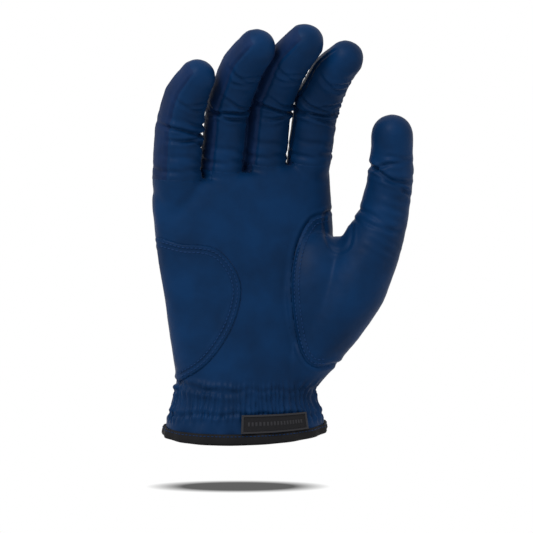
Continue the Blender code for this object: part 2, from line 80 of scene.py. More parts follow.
ROOT_DEPTH = 22.0
ROOT_TAPER = 4.0
DEPTH_SHARE = 1.03
FINGERS = {
    "index": ((34.2, 8.5, 150), 27, (34, 23, 23), (16, 44, 60), (11.4, 11.4, 11.1, 10.2)),
    "middle": ((9.7, 4.0, 149), 28, (35.5, 27, 28), (13, 40, 57), (11.4, 11.3, 11.2, 10.6)),
    "ring": ((-13.2, -3.0, 145.5), 28, (36.5, 25.5, 26), (12, 36, 54), (11.1, 11.0, 11.1, 10.6)),
    "little": ((-36.8, -12.0, 139.5), 28, (30, 18.5, 23.5), (5, 24, 46), (12.6, 12.3, 11.6, 10.2)),
}
THUMB_START = (18, 2, 24)
THUMB_BONES = (
    (72.3, (40, -5, 60)),
    (38.5, (16, -2, 35)),
    (27.6, (5, -3, 27)),
    (31.2, (0.5, -6, 30.6)),
)
THUMB_SIZES = (
    (0, 11, 10), (25, 15.5, 14), (50, 18.3, 17), (73, 19.4, 17.5),
    (95, 17.2, 15.2), (111, 14.4, 12.8), (130, 12.8, 11.6), (150, 11.6, 10.6),
)
THUMB_PALMAR = Vector((-0.75, -0.66, 0))
ROUND_FORMS = {  # centre and radii of the thumb's web and of the ball of the thumb
    "web_form": ((50, 3, 99), (12, 15, 12.5)),
    "ball_form": ((38, 1, 76), (23, 18.5, 38)),
}
FINGER_TWIST = (0, 4, 11)  # each bone turns this much further towards the thumb than the finger's plane
TIP_TAPER = 0.93
THUMB_SPLIT_Y = -3.0 * MM  # the thumb's back and front leather meet here at the height below
THUMB_SPLIT_HEIGHT = 120 * MM
THUMB_SPLIT_LEAN = 0.1
BEND = 9.0 * MM
KNUCKLE_ABOVE_ROOT = 11.0  # mm from the crotch to the fold at the knuckle
KNUCKLE_REACH = 8.0 * MM  # half the length that bends at a joint
FINGER_OWN_LENGTH = 9.0 * MM  # how far below its knuckle fold a finger's surface starts
THUMB_OWN_LENGTH = 26.0 * MM
DIGIT_REACH = 1.45  # a point further from a digit's line than this share of its radius isn't on it
CUT_BELOW_JOINT = 8.6 * MM  # the leather is cut this far below a joint, where its fold begins
TIP_DOME = 9 * MM  # length of a digit's rounded end
SEAM_RADIUS = 10 * MM  # a digit's radius, for turning an angle into a length
SEAM_STOP = 4 * MM  # the side seams stop this far before the tip
SQUARENESS = 2.2  # 2 is an ellipse, more is squarer

# Seams on the front view, in mm (x, z)
THUMB_SEAM = (
    (45, 124), (35, 120), (28, 106), (25, 87), (26.5, 66), (30, 50), (36, 42), (46, 42),
    (75, 50), (110, 90), (110, 150), (58, 150), (54, 128),
)
THUMB_BACK_SEAM = (
    (48, 120), (45, 100), (41, 80), (40, 62), (44, 46),
    (75, 50), (110, 90), (110, 150), (58, 150), (52, 132),
)
QUIRK_OUTLINE = ((43.5, 124), (44, 110), (48.7, 103), (56, 106), (57.5, 118), (54.5, 124))
HEEL_OUTLINE = ((-60, 105), (-32, 107), (-13, 103), (-2, 84), (-9, 58), (-28, 37), (-60, 30))
SLIT_OUTLINE = ((-7, -20), (-6, 20), (-3.5, 50), (0, 58), (3.5, 50), (6, 20), (7, -20))

LABEL_ANGLES = (-12, 39)  # degrees round the wrist from the middle of the palm towards the thumb
LABEL_HEIGHTS = (5.4 * MM, 15.4 * MM)


# ---------------------------------------------------------------- shape of the hand


def power(value, exponent):
    return math.copysign(abs(value) ** exponent, value)


def smooth(t):
    t = np.clip(t, 0, 1)
    return t * t * (3 - 2 * t)


def wrist_angle(x, y):
    """Angle round the palm or wrist: 0 in the middle of the palm, 90 degrees at the thumb side."""
    return np.arctan2(x * ACROSS.x + y * ACROSS.y, x * PALMAR.x + y * PALMAR.y)


def wrapped(angle):
    """The same angle, between -180 and 180 degrees, in radians."""
    return (angle + math.pi) % (2 * math.pi) - math.pi


def wrapped_degrees(angle):
    return (angle + 180) % 360 - 180


def palm_point(angle, z, offset=0.0):
    table = np.array(PALM_SECTIONS, float)
    height = min(max(z / MM, table[0, 0]), table[-1, 0])
    cx, cy, half_width, half_depth, tilt, squareness = (
        float(np.interp(height, table[:, 0], table[:, k])) for k in range(1, 7)
    )
    along = (half_width * MM + offset) * power(math.sin(angle), 2 / squareness)
    out = (half_depth * MM + offset) * power(math.cos(angle), 2 / squareness)
    point = Vector((cx * MM, cy * MM, z)) + ACROSS * along + PALMAR * out
    wave = RIM_DIP * (1 - math.cos(angle - RIM_DIP_AT))
    point.z += math.tan(math.radians(tilt)) * along + wave * max(0.0, 1 - z / RIM_FADE)
    return point


class Digit:
    """A finger or the thumb: a smooth line through its bones, with an oval section."""

    def __init__(self, name, start, bones, sizes, palmar):
        self.name, self.sizes, self.palmar_hint = name, np.array(sizes, float) * MM, palmar
        self.lengths = [b[0] * MM for b in bones]
        self.directions = [Vector(b[1]).normalized() for b in bones]
        self.length = sum(self.lengths)
        self.step = 0.5 * MM
        self.line = [Vector(start) * MM]
        for k in range(int(self.length / self.step)):
            self.line.append(self.line[-1] + self.direction((k + 0.5) * self.step) * self.step)

    def joint_at(self, number):
        return sum(self.lengths[: number + 1])

    def direction(self, s):
        result = self.directions[0]
        for k, after in enumerate(self.directions[1:]):
            result = result.lerp(after, float(smooth((s - self.joint_at(k) + BEND) / (2 * BEND))))
        return result.normalized()

    def point(self, s):
        place = min(max(s / self.step, 0), len(self.line) - 1.001)
        k = int(place)
        return self.line[k].lerp(self.line[k + 1], place - k)

    def axes(self, s):
        along = self.direction(s)
        palmar = (self.palmar_hint - along * self.palmar_hint.dot(along)).normalized()
        return palmar, along.cross(palmar) * -1

    def half_sizes(self, s):
        half_width = float(np.interp(s, self.sizes[:, 0], self.sizes[:, 1]))
        half_depth = float(np.interp(s, self.sizes[:, 0], self.sizes[:, 2]))
        dome = min(1.0, max(0.0, (s - self.length + half_width) / half_width))
        round_off = math.sqrt(max(0.0, 1 - dome * dome))
        return half_width * round_off, half_depth * round_off

    def ring(self, s, count, offset=0.0):
        palmar, side = self.axes(s)
        half_width, half_depth = self.half_sizes(s)
        half_width, half_depth = max(half_width + offset, 1e-5), max(half_depth + offset, 1e-5)
        turns = [2 * math.pi * k / count for k in range(count)]
        return [
            self.point(s)
            + side * half_width * power(math.sin(a), 2 / SQUARENESS)
            + palmar * half_depth * power(math.cos(a), 2 / SQUARENESS)
            for a in turns
        ]

    def coordinates(self, points):
        """For each point: distance along the digit, angle round it from the pad, and distance off its line.

        The last is a share of the digit's radius.
        """
        stations = np.linspace(0, self.length, int(self.length / (1 * MM)))
        line = np.array([self.point(s) for s in stations])
        along = np.array([self.direction(s) for s in stations])
        frames = [self.axes(s) for s in stations]
        palmar, side = np.array([f[0] for f in frames]), np.array([f[1] for f in frames])
        radius = [max(max(self.half_sizes(min(s, self.length - TIP_DOME))), 1e-3) for s in stations]
        nearest = np.empty(len(points), int)
        for k in range(0, len(points), CHUNK):
            block = points[k : k + CHUNK]
            distance = ((block[:, None, :] - line[None]) ** 2).sum(2)
            nearest[k : k + CHUNK] = distance.argmin(1)
        offset = points - line[nearest]
        s = stations[nearest] + (offset * along[nearest]).sum(1)
        across = offset - along[nearest] * (offset * along[nearest]).sum(1)[:, None]
        angle = np.arctan2((across * side[nearest]).sum(1), (across * palmar[nearest]).sum(1))
        return s, angle, np.linalg.norm(offset, axis=1) / np.array(radius)[nearest]


def bone_direction(turn, lean):
    """A unit vector leaning from the vertical, in a plane turned from -Y towards +X, in degrees."""
    turn, lean = math.radians(turn), math.radians(lean)
    return Vector((math.sin(turn) * math.sin(lean), -math.cos(turn) * math.sin(lean), math.cos(lean)))


def make_digits():
    digits = {}
    for name, (root, turn, lengths, leans, widths) in FINGERS.items():
        directions = [bone_direction(turn + twist, lean) for twist, lean in zip(FINGER_TWIST, leans)]
        curl = bone_direction(turn, 90)
        start = Vector(root) - directions[0] * ROOT_DEPTH
        lengths = (lengths[0] + ROOT_DEPTH, *lengths[1:])
        marks = (0, ROOT_DEPTH, lengths[0], lengths[0] + lengths[1], sum(lengths) - widths[-1])
        widths = (widths[0] - ROOT_TAPER, *widths[:-1], widths[-1] * TIP_TAPER)
        sizes = [(mark, width, width * DEPTH_SHARE) for mark, width in zip(marks, widths)]
        digits[name] = Digit(name, start, list(zip(lengths, directions)), sizes, curl)
    digits["thumb"] = Digit("thumb", THUMB_START, THUMB_BONES, THUMB_SIZES, THUMB_PALMAR)
    return digits


# ---------------------------------------------------------------- mesh helpers


def object_from(name, verts, faces, material=None):
    mesh = bpy.data.meshes.new(name)
    mesh.from_pydata([tuple(v) for v in verts], [], faces)
    mesh.update()
    obj = bpy.data.objects.new(name, mesh)
    bpy.context.scene.collection.objects.link(obj)
    if material:
        mesh.materials.append(material)
    mesh.shade_smooth()
    return obj


def object_of(name, bm):
    """A linked object that holds this edit mesh, which is freed."""
    mesh = bpy.data.meshes.new(name)
    bm.to_mesh(mesh)
    bm.free()
    obj = bpy.data.objects.new(name, mesh)
    bpy.context.scene.collection.objects.link(obj)
    return obj


def face_outwards(mesh):
    bm = bmesh.new()
    bm.from_mesh(mesh)
    bmesh.ops.recalc_face_normals(bm, faces=bm.faces)
    bm.to_mesh(mesh)
    bm.free()


def soft_edges(obj, width, segments):
    bevel = obj.modifiers.new("soft_edges", "BEVEL")
    bevel.width, bevel.segments, bevel.limit_method = width * MM, segments, "ANGLE"
    bevel.angle_limit = math.radians(50)


def loft(rings):
    """Vertices and faces of a closed tube through rings of points, with flat ends."""
    count = len(rings[0])
    verts = [p for ring in rings for p in ring]
    faces = []
    for i in range(len(rings) - 1):
        for j in range(count):
            k = (j + 1) % count
            a, b = i * count, (i + 1) * count
            faces.append((a + j, a + k, b + k, b + j))
    faces.append(tuple(range(count))[::-1])
    faces.append(tuple(range(len(verts) - count, len(verts))))
    return verts, faces


def add_smoothing(obj, iterations):
    soften = obj.modifiers.new("soften", "SMOOTH")
    soften.iterations, soften.factor = iterations, 0.5


def apply_modifiers(obj):
    bpy.context.view_layer.update()
    graph = bpy.context.evaluated_depsgraph_get()
    mesh = bpy.data.meshes.new_from_object(obj.evaluated_get(graph))
    obj.modifiers.clear()
    obj.data = mesh


def positions(mesh):
    out = np.empty(len(mesh.vertices) * 3)
    mesh.vertices.foreach_get("co", out)
    return out.reshape(-1, 3)


def normals(mesh):
    out = np.empty(len(mesh.vertices) * 3)
    mesh.vertex_normals.foreach_get("vector", out)
    return out.reshape(-1, 3)


def set_positions(mesh, points):
    mesh.vertices.foreach_set("co", points.ravel())
    mesh.update()


def wander(points, scale, seed, octaves=3):
    """Smooth noise between about -1 and 1: sums of sines in slanting directions."""
    rng = np.random.default_rng(seed)
    total, weight = np.zeros(len(points)), 0.0
    for octave in range(octaves):
        for _ in range(5):
            direction = rng.normal(size=3)
            direction /= np.linalg.norm(direction)
            wave = 2 * math.pi * 2**octave / scale
            phase = points @ direction * wave * rng.uniform(0.7, 1.3) + rng.uniform(0, 6.3)
            total += np.sin(phase) / 2**octave
            weight += 0.6 / 2**octave
    return total / weight


def outline(points, count=14):
    """A smooth closed curve through these points (Catmull-Rom), as an array in metres."""
    pts = np.array(points, float) * MM
    out = []
    for k in range(len(pts)):
        a, b, c, d = pts[k - 1], pts[k], pts[(k + 1) % len(pts)], pts[(k + 2) % len(pts)]
        square, cube = 2 * a - 5 * b + 4 * c - d, 3 * b - a - 3 * c + d
        for t in np.linspace(0, 1, count, endpoint=False):
            out.append(0.5 * (2 * b + (c - a) * t + square * t**2 + cube * t**3))
    return np.array(out)


def inside_distance(flat, curve):
    """Signed distance to a closed curve on the front view: positive inside."""
    result = np.empty(len(flat))
    after = np.roll(curve, -1, axis=0)
    edge = after - curve
    for k in range(0, len(flat), CHUNK):
        p = flat[k : k + CHUNK]
        rel = p[:, None, :] - curve[None]
        t = np.clip((rel * edge).sum(2) / ((edge**2).sum(1) + 1e-18), 0, 1)
        distance = np.sqrt(((rel - t[..., None] * edge) ** 2).sum(2)).min(1)
        crosses = (curve[None, :, 1] > p[:, 1:2]) != (after[None, :, 1] > p[:, 1:2])
        slope = np.where(np.abs(edge[:, 1]) < 1e-12, 1e-12, edge[:, 1])
        at = curve[None, :, 0] + (p[:, 1:2] - curve[None, :, 1]) * edge[None, :, 0] / slope
        inside = ((crosses & (p[:, 0:1] < at)).sum(1) % 2) == 1
        result[k : k + CHUNK] = np.where(inside, distance, -distance)
    return result


# ---------------------------------------------------------------- the leather skin


digits = make_digits()
curves = {
    "thumb_front": outline(THUMB_SEAM),
    "thumb_rear": outline(THUMB_BACK_SEAM),
    "quirk": outline(QUIRK_OUTLINE),
    "heel": outline(HEEL_OUTLINE),
    "slit": outline(SLIT_OUTLINE),
}


def joint_stations(digit):
    """Distances along the digit of its two bends."""
    if digit.name == "thumb":
        return digit.joint_at(1), digit.joint_at(2)
    return (ROOT_DEPTH + KNUCKLE_ABOVE_ROOT) * MM, digit.joint_at(0)


def palm_form():
    heights = [-30 * MM] + [section[0] * MM for section in PALM_SECTIONS]
    around = [2 * math.pi * k / 96 for k in range(96)]
    return object_from("palm_form", *loft([[palm_point(a, z) for a in around] for z in heights]))


def digit_form(digit):
    shaft, step = digit.length - TIP_DOME, 2 * MM
    stations = [k * step for k in range(int(shaft / step) + 1)]
    stations += [shaft + TIP_DOME * math.sin(math.radians(a)) for a in range(10, 90, 10)]
    stations.append(digit.length - 1e-6)
    return object_from(digit.name + "_form", *loft([digit.ring(s, 48) for s in stations]))


def round_form(name, centre, radii):
    bm = bmesh.new()
    bmesh.ops.create_uvsphere(bm, u_segments=40, v_segments=24, radius=1)
    form = object_of(name, bm)
    stretch = Matrix.Diagonal([r * MM for r in radii] + [1])
    form.data.transform(Matrix.Translation(Vector(centre) * MM) @ stretch)
    return form


def hand_skin():
    """The whole glove's outer face as one fine mesh, before it is cut into pieces."""
    solids = [palm_form()]
    solids += [digit_form(digit) for digit in digits.values()]
    solids += [round_form(name, centre, radii) for name, (centre, radii) in ROUND_FORMS.items()]
    bm = bmesh.new()
    for solid in solids:
        bm.from_mesh(solid.data)
        bpy.data.objects.remove(solid)
    skin = object_of("skin", bm)
    remesh = skin.modifiers.new("remesh", "REMESH")
    remesh.mode, remesh.voxel_size = "VOXEL", VOXEL
    add_smoothing(skin, 22)
    apply_modifiers(skin)
    return skin


def ridge(distance, width):
    return np.exp(-((distance / width) ** 2))


def fold(distance, depth, width):
    """A crease with the leather heaped on both sides of it."""
    heap = ridge(np.abs(distance) - 2.1 * width, 1.3 * width)
    return depth * (0.7 * heap - 1.25 * ridge(distance, width))


# Creases at a bend, in mm and degrees: distance from the bend, angle round the digit that it is centred on,
# half its span, depth, width, slant
FINGER_CREASES = {
    "index": (
        (-5.5, 20, 80, 0.9, 1.1, 4), (-0.5, -10, 95, 1.5, 1.3, -2),
        (4.0, 30, 70, 0.9, 1.0, 3), (9, -30, 60, 0.5, 0.9, -4),
    ),
    "middle": (
        (-4.5, -20, 80, 0.9, 1.1, -3), (0.5, 0, 100, 1.4, 1.3, 2),
        (5.0, -30, 70, 0.8, 1.0, 4), (22, 0, 50, 0.4, 1.2, 0),
    ),
    "ring": (
        (-3.5, 20, 80, 0.9, 1.1, 3), (1.0, 0, 100, 1.5, 1.3, -3),
        (6.0, -25, 70, 0.8, 1.0, 3), (20, 0, 50, 0.4, 1.2, 0),
    ),
    "little": (
        (-9, -50, 60, 0.8, 1.0, 4), (-4, -20, 80, 0.9, 1.1, -3),
        (0.5, 0, 95, 1.1, 1.2, 2), (5.5, -40, 60, 0.6, 1.0, 3),
    ),
    "thumb": (
        (-6, -60, 70, 0.8, 1.1, 5), (-1, -30, 90, 1.3, 1.3, 4),
        (4, -20, 70, 0.8, 1.1, -3), (9, -70, 50, 0.5, 1.0, 0),
    ),
}
AROUND_WRIST = 40  # mm of leather for each radian round the wrist
FLARE_WAVE = 0.5  # mm that the cuff's edge waves in and out
KNUCKLE_CREASES = ((-4, 60, 60, 0.5, 1.2, 2), (-2, -50, 60, 0.5, 1.2, -2), (3, 0, 80, 0.4, 1.4, 2))
END_CREASES = ((-1, 10, 60, 0.5, 1.4, 2), (2.5, -20, 50, 0.35, 1.2, -2))
BACK_CREASES = ((-3.5, 180, 60, 0.25, 1.0, 2), (0.5, 180, 70, 0.3, 1.0, -2), (4.5, 180, 60, 0.25, 1.0, 2))


def creases(s, angle, joint, table):
    total = np.zeros(len(s))
    for off, centre, span, depth, width, slant in table:
        turn = wrapped_degrees(np.degrees(angle) - centre)
        waver = 0.8 * np.sin(np.radians(turn * 3 + off * 40))
        line = joint + (off + slant * np.sin(np.radians(turn)) + waver) * MM
        window = smooth(1.3 - np.abs(turn) / span)
        total += fold(s - line, 1.25 * depth * MM, width * MM) * window
    return total


def finger_shift(name, digit, s, angle):
    """A finger's end creases, its side seams and the leather puckered along them."""
    shift = creases(s, angle, digit.joint_at(1), END_CREASES)
    for seam in seam_angles(name):
        gap = wrapped(angle - seam) * SEAM_RADIUS
        pucker = 0.12 * MM * np.sin(s / (1.1 * MM)) * ridge(gap, 1.6 * MM)
        before_tip = smooth((digit.length - SEAM_STOP - s) / SEAM_STOP)
        shift += fold(gap, 0.42 * MM, 0.75 * MM) * before_tip + pucker
    return shift


def thumb_shift(knuckle, middle, s, angle):
    """The small gathers on the inner side of the thumb."""
    inner = ridge(wrapped_degrees(np.degrees(angle) + 75), 32)
    window = smooth((s - knuckle + 22 * MM) / (8 * MM)) * smooth((middle + 2 * MM - s) / (10 * MM))
    return 0.55 * MM * np.sin((s - knuckle) / (0.85 * MM) + np.sin(angle * 3)) * inner * window


def digit_shift(number, name, digit, s, angle):
    """Creases at the bends, crumpled leather on the pad side of the middle one, and the digit's seams."""
    knuckle, middle = joint_stations(digit)
    shift = creases(s, angle, middle, FINGER_CREASES[name]) + creases(s, angle, middle, BACK_CREASES)
    shift += creases(s, angle, knuckle, KNUCKLE_CREASES)
    bend = ridge(s - middle, 13 * MM) * smooth(np.cos(angle) * 0.8 + 0.45)
    unrolled = np.stack([s, angle * 4 * MM, s * 0.3], 1)
    shift += 0.45 * MM * wander(unrolled, 7 * MM, 20 + number, 2) * bend
    if name == "index":
        shift += 1.5 * MM * ridge(s - middle - 3 * MM, 4.5 * MM) * ridge(np.degrees(angle) - 80, 40)
    if name == "thumb":
        return shift + thumb_shift(knuckle, middle, s, angle)
    return shift + finger_shift(name, digit, s, angle)


def gathers(around, z, front):
    """Leather gathered by the elastic across the heel of the hand. around is in mm."""
    band = smooth((z - 9 * MM) / (6 * MM)) * smooth((36 * MM - z) / (9 * MM))
    beat = np.sin(around * 1.55 + 1.5 * np.sin(around * 0.31) + 0.9 * np.sin(z / (5 * MM) + around * 0.2))
    beat += 0.5 * np.sin(around * 2.9 + 1.2 * np.sin(around * 0.5 + 2) + z / (1.9 * MM))
    beat += 0.7 * wander(np.stack([around * 1.0, z / MM * 0.45, z * 0], 1), 7.0, 31, 2)
    return 0.8 * MM * beat * band * (0.25 + 0.75 * front)


def wrist_shift(x, y, z, wrist):
    """The cuff: gathers, a wavy flare, the elastic's two stitched lines and the fold above them."""
    around = wrist * AROUND_WRIST
    front = smooth((np.radians(125) - np.abs(wrist)) / np.radians(30))
    shift = gathers(around, z, front)
    flare = smooth((12 * MM - z) / (10 * MM))
    shift += FLARE_WAVE * MM * np.sin(around * 0.42 + 1) * flare
    for height, bow in ((15.5, 0.6), (28.5, -0.8)):
        line = z - (height + bow * np.sin(around * 0.25)) * MM
        shift += fold(line, 0.5 * MM, 1.0 * MM) * front
    slope = z - (31.5 * MM - (x + 35 * MM) * 0.14 + 1.2 * MM * np.sin(x / (9 * MM)))
    where = smooth((x + 42 * MM) / (5 * MM)) * smooth((2 * MM - x) / (12 * MM)) * (y < 0)
    return shift + fold(slope, 1.1 * MM, 1.3 * MM) * where


def palm_seam_shift(points):
    """Grooves along the thumb's seam and round the quirk."""
    x, y, _ = points.T
    flat = points[:, [0, 2]]
    before_edge = x < 60 * MM
    near_front = y < THUMB_SPLIT_Y + 8 * MM
    thumb = fold(inside_distance(flat, curves["thumb_front"]), 0.55 * MM, 0.9 * MM)
    quirk = fold(inside_distance(flat, curves["quirk"]), 0.4 * MM, 0.9 * MM)
    return np.where(near_front & before_edge, thumb, 0), np.where(before_edge, quirk, 0)


def sculpt(skin):
    """Creases, gathers, seam lines and the softness of the leather, as a shift along the normal."""
    mesh = skin.data
    points, out = positions(mesh), normals(mesh)
    shift = 0.35 * MM * wander(points, 38 * MM, 3) + 0.10 * MM * wander(points, 9 * MM, 4)
    x, y, z = points.T
    owner, coords = assign_digits(points)
    for number, (name, digit) in enumerate(digits.items()):
        s, angle, _ = coords[name]
        on = owner == number
        shift[on] += digit_shift(number, name, digit, s, angle)[on]
    free = owner < 0
    wrist = wrist_angle(x, y)
    shift += np.where(free, wrist_shift(x, y, z, wrist), 0)
    for groove in palm_seam_shift(points):
        shift += groove
    over_elastic = free & (z > 17 * MM) & (z < 34 * MM) & (np.abs(wrist) < np.radians(86))
    shift = np.where(over_elastic, np.maximum(shift, -0.25 * MM + 0.3 * shift), shift)
    set_positions(mesh, points + out * shift[:, None])
    add_smoothing(skin, 2)
    apply_modifiers(skin)


def strips(name):
    """A finger's leather strips, each with the angles where it starts and ends, in degrees from the pad."""
    if name == "index":
        return {"front": (-52, 90), "back": (90, 232), "side": (232, 308)}
    if name == "little":
        return {"front": (-90, 52), "side": (52, 128), "back": (128, 270)}
    return {"front": (-52, 52), "thumb_side": (52, 128), "back": (128, 232), "little_side": (232, 308)}


def seam_angles(name):
    starts = sorted(first % 360 for first, _ in strips(name).values())
    return [math.radians(start) for start in starts]


def thumb_split(y, z):
    """Signed distance to the line between the thumb's back and front leather: positive at the back."""
    return y - THUMB_SPLIT_Y - (z - THUMB_SPLIT_HEIGHT) * THUMB_SPLIT_LEAN


def assign_digits(points):
    """The number of the digit that each point is on, or -1 on the palm, and every digit's coordinates."""
    coords, best, owner = {}, np.full(len(points), DIGIT_REACH), np.full(len(points), -1)
    for k, (name, digit) in enumerate(digits.items()):
        s, angle, share = coords[name] = digit.coordinates(points)
        knuckle, _ = joint_stations(digit)
        start = knuckle - (THUMB_OWN_LENGTH if name == "thumb" else FINGER_OWN_LENGTH)
        closer = (s > start) & (share < best)
        owner[closer] = k
        best[closer] = share[closer]
    return owner, coords


def side_fields(name, digit, s, angle):
    """For each strip of a finger, how far inside it every point is. The front strip takes the whole tip."""
    degrees = np.degrees(angle) % 360
    past_seams = s - (digit.length - SEAM_STOP)
    sides = {}
    for side, (first, last) in strips(name).items():
        centre, half = (first + last) / 2, (last - first) / 2
        value = np.radians(half - np.abs(wrapped_degrees(degrees - centre))) * SEAM_RADIUS
        sides[side] = np.maximum(value, past_seams) if side == "front" else np.minimum(value, -past_seams)
    return sides


def region_fields(points):
    """For each leather piece, how far inside it every point is. The first piece above zero wins."""
    owner, coords = assign_digits(points)
    x, y, z = points.T
    fields = {}
    for number, (name, digit) in enumerate(digits.items()):
        s, angle, _ = coords[name]
        knuckle, middle = joint_stations(digit)
        low, high = s - (knuckle - CUT_BELOW_JOINT), s - (middle - CUT_BELOW_JOINT)
        if name == "thumb":
            back = thumb_split(y, z)
            sides = {"front": -back, "back": back}
        else:
            sides = side_fields(name, digit, s, angle)
        for side, value in sides.items():
            within = np.minimum(value, low)
            fields[f"{name}_tip_{side}"] = np.where(owner == number, np.minimum(within, high), -1.0)
            fields[f"{name}_base_{side}"] = np.where(owner == number, np.minimum(within, -high), -1.0)
    flat = points[:, [0, 2]]
    plane = x * PALMAR.x + y * PALMAR.y
    turned = np.stack([x * ACROSS.x + y * ACROSS.y, z], 1)
    fields["slit"] = np.where(plane < 0, inside_distance(turned, curves["slit"]), -1.0)
    fields["thumb_quirk_skin"] = inside_distance(flat, curves["quirk"])
    fields["thumb_panel_front"] = np.minimum(inside_distance(flat, curves["thumb_front"]), THUMB_SPLIT_Y - y)
    fields["thumb_panel_back"] = np.minimum(inside_distance(flat, curves["thumb_rear"]), y - THUMB_SPLIT_Y)
    fields["palm_skin"] = plane
    fields["back_skin"] = np.ones(len(points))
    return fields


def rim_height(x, y):
    """Height of the cuff's edge at the angle of these points."""
    angles = np.linspace(-math.pi, math.pi, 181)
    return np.interp(wrist_angle(x, y), angles, [palm_point(a, 0).z for a in angles])


def between_labels(faces, label, count):
    """The numbers of the vertices that belong to faces of two different pieces."""
    shared = np.full(count, -2)
    boundary = np.zeros(count, bool)
    for corner in range(4):
        v = faces[:, corner]
        fresh = shared[v] == -2
        shared[v[fresh]] = label[fresh]
        boundary[v[shared[v] != label]] = True
    return np.where(boundary)[0]


def moved_onto_seams(here):
    """These points, each moved along the skin's seam field onto the nearest line of cutting."""
    values = np.array(seam_fields(here))
    rows = np.arange(len(here))
    pick = np.abs(values).argmin(0)
    value = values[pick, rows]
    gradient = np.empty((len(here), 3))
    for axis in range(3):
        nudge = here.copy()
        nudge[:, axis] += NUDGE
        gradient[:, axis] = (np.array(seam_fields(nudge))[pick, rows] - value) / NUDGE
    size = (gradient**2).sum(1)
    near = (np.abs(value) < 0.9 * VOXEL) & (size > 0.2)
    step = np.where(near, value / np.maximum(size, 0.2), 0)
    return here - gradient * step[:, None]


def cut_skin(skin):
    """Sorts the skin's faces into pieces and moves the vertices between two pieces onto their seam."""
    mesh = skin.data
    points, whole_normals = positions(mesh), normals(mesh)
    faces = np.array([tuple(p.vertices) for p in mesh.polygons if len(p.vertices) == 4])
    centres = points[faces].mean(1)
    fields = region_fields(centres)
    names = list(fields)
    label = (np.array([fields[n] for n in names]) > 0).argmax(0)
    label[centres[:, 2] <= rim_height(centres[:, 0], centres[:, 1])] = -1
    seam = between_labels(faces, label, len(points))
    for _ in range(2):
        points[seam] = moved_onto_seams(points[seam])
    pieces = {}
    for k, name in enumerate(names):
        chosen = faces[label == k]
        if name == "slit" or not len(chosen):
            continue
        used, inverse = np.unique(chosen, return_inverse=True)
        piece = pieces[name] = object_from(name, points[used], inverse.reshape(-1, 4).tolist())
        piece.data.normals_split_custom_set_from_vertices(whole_normals[used].tolist())
    bpy.data.objects.remove(skin)
    return pieces


def seam_fields(points):
    """Signed distances to every line along which the skin is cut. FAR is where a line doesn't reach."""
    owner, coords = assign_digits(points)
    x, y, z = points.T
    flat = points[:, [0, 2]]
    out = [z - rim_height(x, y)]
    for number, (name, digit) in enumerate(digits.items()):
        s, angle, _ = coords[name]
        knuckle, middle = joint_stations(digit)
        on = owner == number
        from_knuckle_cut = s - (knuckle - CUT_BELOW_JOINT)
        out.append(np.where(np.abs(s - knuckle + CUT_BELOW_JOINT) < 3 * MM, from_knuckle_cut, FAR))
        out.append(np.where(on, s - (middle - CUT_BELOW_JOINT), FAR))
        if name == "thumb":
            out.append(np.where(on, thumb_split(y, z), FAR))
            continue
        for seam in seam_angles(name):
            out.append(np.where(on, wrapped(angle - seam) * SEAM_RADIUS, FAR))
    palm = owner < 0
    plane = x * PALMAR.x + y * PALMAR.y
    for curve in ("thumb_front", "thumb_rear", "quirk"):
        out.append(np.where(palm, inside_distance(flat, curves[curve]), FAR))
    out.append(np.where(palm, plane, FAR))
    out.append(np.where(palm & (x > 30 * MM), y - THUMB_SPLIT_Y, FAR))
    turned = np.stack([x * ACROSS.x + y * ACROSS.y, z], 1)
    out.append(np.where(palm & (plane < 0), inside_distance(turned, curves["slit"]), FAR))
    return out


# ---------------------------------------------------------------- materials


def node_material(name):
    material = bpy.data.materials.new(name)
    material.use_nodes = True
    nodes, links = material.node_tree.nodes, material.node_tree.links
    return material, nodes, links, nodes["Principled BSDF"]


def texture(nodes, kind, **settings):
    node = nodes.new(kind)
    for key, value in settings.items():
        node.inputs[key.capitalize()].default_value = value
    return node


def add_scaled(nodes, links, first, scale, second):
    """A node for first * scale + second."""
    node = nodes.new("ShaderNodeMath")
    node.operation = "MULTIPLY_ADD"
    node.inputs[1].default_value = scale
    links.new(first, node.inputs[0])
    links.new(second, node.inputs[2])
    return node.outputs[0]


def add_bump(nodes, links, shader, height, strength, depth):
    bump = nodes.new("ShaderNodeBump")
    bump.inputs["Strength"].default_value = strength
    bump.inputs["Distance"].default_value = depth * MM
    links.new(height, bump.inputs["Height"])
    links.new(bump.outputs["Normal"], shader.inputs["Normal"])


